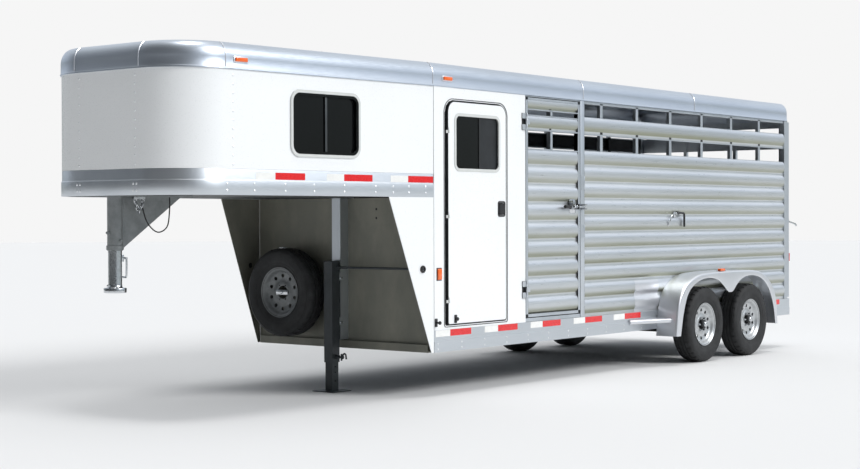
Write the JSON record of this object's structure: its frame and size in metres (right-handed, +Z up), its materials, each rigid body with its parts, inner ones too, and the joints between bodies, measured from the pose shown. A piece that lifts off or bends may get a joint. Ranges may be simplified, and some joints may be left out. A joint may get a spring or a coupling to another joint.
{
  "type": "livestock trailer",
  "caption": "Gooseneck livestock trailer with tapered nose over the hitch, slatted stock body, side and rear doors, tandem wheels, fenders, spare wheel and drop-leg jack.",
  "frame": {"origin": "centre of the bounding box, on the ground under the tyres", "axes": "+X towards the rear gate, +Z up, -Y the road side with the two side doors"},
  "size_m": [9.619, 2.504, 2.815],
  "materials": {
    "mill_aluminium": "satin extruded aluminium",
    "bright_aluminium": "bright rolled aluminium",
    "deck_aluminium": "matt plank",
    "white_skin": "gloss white prepainted sheet",
    "frame_paint": "satin light grey",
    "grey_paint": "satin grey",
    "jack_paint": "dark grey powder coat",
    "axle_paint": "black",
    "wheel_steel": "silver wheel paint",
    "hub_black": "black hub with plated cap",
    "plated_steel": "zinc and chrome plate",
    "black_plastic": "matt",
    "cable_sheath": "matt",
    "tyre_rubber": "matt black",
    "dark_glass": "tinted"
  },
  "bodies": {
    "trailer": {"chassis": "mill_aluminium", "floor": "deck_aluminium", "base_rail_left": "mill_aluminium", "base_rail_right": "mill_aluminium", "nose_floor": "deck_aluminium", "nose_rail": "mill_aluminium", "nose_shell": "white_skin", "nose_window_frame": "frame_paint", "nose_window_glass": "dark_glass", "front_wall": "grey_paint", "riser_left": "white_skin", "riser_right": "white_skin", "jack_channel": "mill_aluminium", "front_side_left": "white_skin", "front_side_right": "white_skin", "entry_frame": "frame_paint", "stock_side_left": "mill_aluminium", "stock_side_right": "mill_aluminium", "door_keeper": "plated_steel", "bulkhead": "mill_aluminium", "rear_frame": "mill_aluminium", "roof_rail": "mill_aluminium", "roof_sheet": "mill_aluminium", "fender_left": "bright_aluminium", "fender_right": "bright_aluminium", "step_left": "bright_aluminium", "jack_tube": "jack_paint", "coupler_neck": "grey_paint", "breakaway_cable": "cable_sheath", "spare_tyre": "tyre_rubber", "spare_rim": "wheel_steel", "axle_front": "axle_paint", "axle_rear": "axle_paint"},
    "nose_slider": {"nose_window_slider": "dark_glass"},
    "entry_door": {"entry_door": "white_skin", "entry_glass": "dark_glass"},
    "entry_slider": {"entry_slider": "dark_glass"},
    "entry_paddle": {"entry_paddle": "black_plastic"},
    "stock_door": {"stock_door": "mill_aluminium"},
    "slam_bolt": {"slam_bolt": "plated_steel"},
    "center_gate": {"center_gate": "mill_aluminium"},
    "rear_gate": {"rear_gate": "mill_aluminium"},
    "gate_latch": {"gate_latch": "plated_steel"},
    "jack_leg": {"jack_leg": "jack_paint"},
    "jack_pin": {"jack_pin": "plated_steel"},
    "jack_crank": {"jack_crank": "jack_paint"},
    "coupler_tube": {"coupler_tube": "grey_paint"},
    "coupler_handle": {"coupler_handle": "plated_steel"},
    "wheel_front_left": {"tyre_front_left": "tyre_rubber", "rim_front_left": "wheel_steel", "hub_front_left": "hub_black"},
    "wheel_front_right": {"tyre_front_right": "tyre_rubber", "rim_front_right": "wheel_steel", "hub_front_right": "hub_black"},
    "wheel_rear_left": {"tyre_rear_left": "tyre_rubber", "rim_rear_left": "wheel_steel", "hub_rear_left": "hub_black"},
    "wheel_rear_right": {"tyre_rear_right": "tyre_rubber", "rim_rear_right": "wheel_steel", "hub_rear_right": "hub_black"}
  },
  "joints": [
    {"name": "entry_hinge", "type": "hinge", "parent": "trailer", "child": "entry_door", "pos_m": [-1.9395, -1.03, 1.54], "axis": [0, 0, -1], "range_deg": [0, 170]},
    {"name": "entry_window_slide", "type": "slide", "parent": "entry_door", "child": "entry_slider", "axis": [-1, 0, 0], "range_m": [0, 0.25]},
    {"name": "entry_paddle_pivot", "type": "hinge", "parent": "entry_door", "child": "entry_paddle", "pos_m": [-1.2065, -1.029, 1.581], "axis": [0, 0, -1], "range_deg": [0, 30], "stiffness_Nm_per_rad": 0.2},
    {"name": "stock_hinge", "type": "hinge", "parent": "trailer", "child": "stock_door", "pos_m": [-0.7885, -1.031, 1.597], "axis": [0, 0, -1], "range_deg": [0, 110]},
    {"name": "slam_bolt_slide", "type": "slide", "parent": "stock_door", "child": "slam_bolt", "axis": [-1, 0, 0], "range_m": [0, 0.04], "stiffness_N_per_m": 200},
    {"name": "center_gate_hinge", "type": "hinge", "parent": "trailer", "child": "center_gate", "pos_m": [1.9345, 0.925, 1.3], "axis": [0, 0, -1], "range_deg": [0, 85]},
    {"name": "rear_hinge", "type": "hinge", "parent": "trailer", "child": "rear_gate", "pos_m": [4.5755, 1.003, 1.59], "axis": [0, 0, 1], "range_deg": [0, 150]},
    {"name": "gate_latch_pivot", "type": "hinge", "parent": "rear_gate", "child": "gate_latch", "pos_m": [4.5795, -0.985, 1.455], "axis": [0, -1, 0], "range_deg": [0, 60]},
    {"name": "jack_leg_slide", "type": "slide", "parent": "trailer", "child": "jack_leg", "axis": [0, 0, 1], "range_m": [0, 0.24]},
    {"name": "jack_pin_slide", "type": "slide", "parent": "trailer", "child": "jack_pin", "axis": [0, -1, 0], "range_m": [0, 0.012], "stiffness_N_per_m": 300},
    {"name": "jack_crank_turn", "type": "hinge", "parent": "trailer", "child": "jack_crank", "pos_m": [-2.2675, -1, 1.076], "axis": [0, 1, 0], "range_deg": [0, 3456]},
    {"name": "coupler_slide", "type": "slide", "parent": "trailer", "child": "coupler_tube", "axis": [0, 0, -1], "range_m": [0, 0.12]},
    {"name": "coupler_handle_pivot", "type": "hinge", "parent": "coupler_tube", "child": "coupler_handle", "pos_m": [-4.6475, 0, 1.206], "axis": [0, -1, 0], "range_deg": [0, 60]},
    {"name": "nose_window_slide", "type": "slide", "parent": "trailer", "child": "nose_slider", "axis": [-0.9965, 0.0838, 0], "range_m": [0, 0.3]},
    {"name": "wheel_front_left_spin", "type": "hinge", "parent": "trailer", "child": "wheel_front_left", "pos_m": [2.1745, -1.13, 0.391], "axis": [0, 1, 0], "continuous": true},
    {"name": "wheel_front_right_spin", "type": "hinge", "parent": "trailer", "child": "wheel_front_right", "pos_m": [2.1745, 1.13, 0.391], "axis": [0, 1, 0], "continuous": true},
    {"name": "wheel_rear_left_spin", "type": "hinge", "parent": "trailer", "child": "wheel_rear_left", "pos_m": [3.1845, -1.13, 0.391], "axis": [0, 1, 0], "continuous": true},
    {"name": "wheel_rear_right_spin", "type": "hinge", "parent": "trailer", "child": "wheel_rear_right", "pos_m": [3.1845, 1.13, 0.391], "axis": [0, 1, 0], "continuous": true}
  ],
  "couplings": [
    {"joint": "jack_crank_turn", "follows": "jack_leg_slide", "rad_per_m": 251.33}
  ]
}
